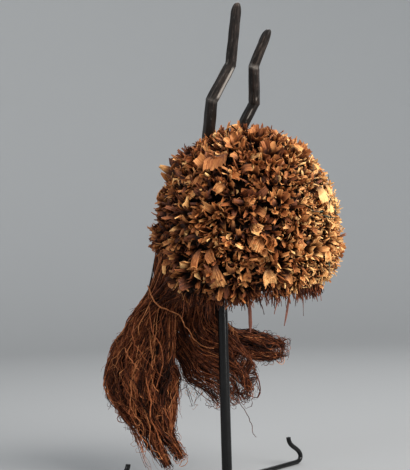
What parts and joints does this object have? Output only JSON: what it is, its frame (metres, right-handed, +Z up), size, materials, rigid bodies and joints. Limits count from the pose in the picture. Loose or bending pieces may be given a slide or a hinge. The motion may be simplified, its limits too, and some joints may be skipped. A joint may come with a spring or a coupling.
{
  "type": "dance mask on a stand",
  "caption": "Hood-shaped dance mask covered in curled leaf tufts, with zigzag wooden horns and a bast fibre beard, held up on a bent-bar rod stand.",
  "frame": {"origin": "centre of the rod's flat lower end, on the surface that the stand stands on", "axes": "+Z up, along the rod; the mask faces -Y, so its own left side is at +X"},
  "size_m": [0.3936, 0.3941, 0.7282],
  "materials": {
    "cap_weave": "dark plain weave of bast, matt",
    "leaf_tufts": "dry curled leaf, matt",
    "horn_wood": "carved and blackened, low sheen",
    "bast_fibre": "red-brown raw fibre, matt",
    "hide_strip": "red-brown, dry",
    "stand_iron": "matt black"
  },
  "bodies": {
    "root": {"cap": "cap_weave", "leaf_tufts": "leaf_tufts", "horn_left": "horn_wood", "horn_right": "horn_wood", "beard_long_hank": "bast_fibre", "beard_middle_hank": "bast_fibre", "beard_side_hank": "bast_fibre", "tie_strip_back": "hide_strip", "tie_strip_side": "hide_strip", "stand_rod": "stand_iron", "stand_foot_1": "stand_iron", "stand_foot_2": "stand_iron", "stand_foot_3": "stand_iron"}
  },
  "joints": []
}
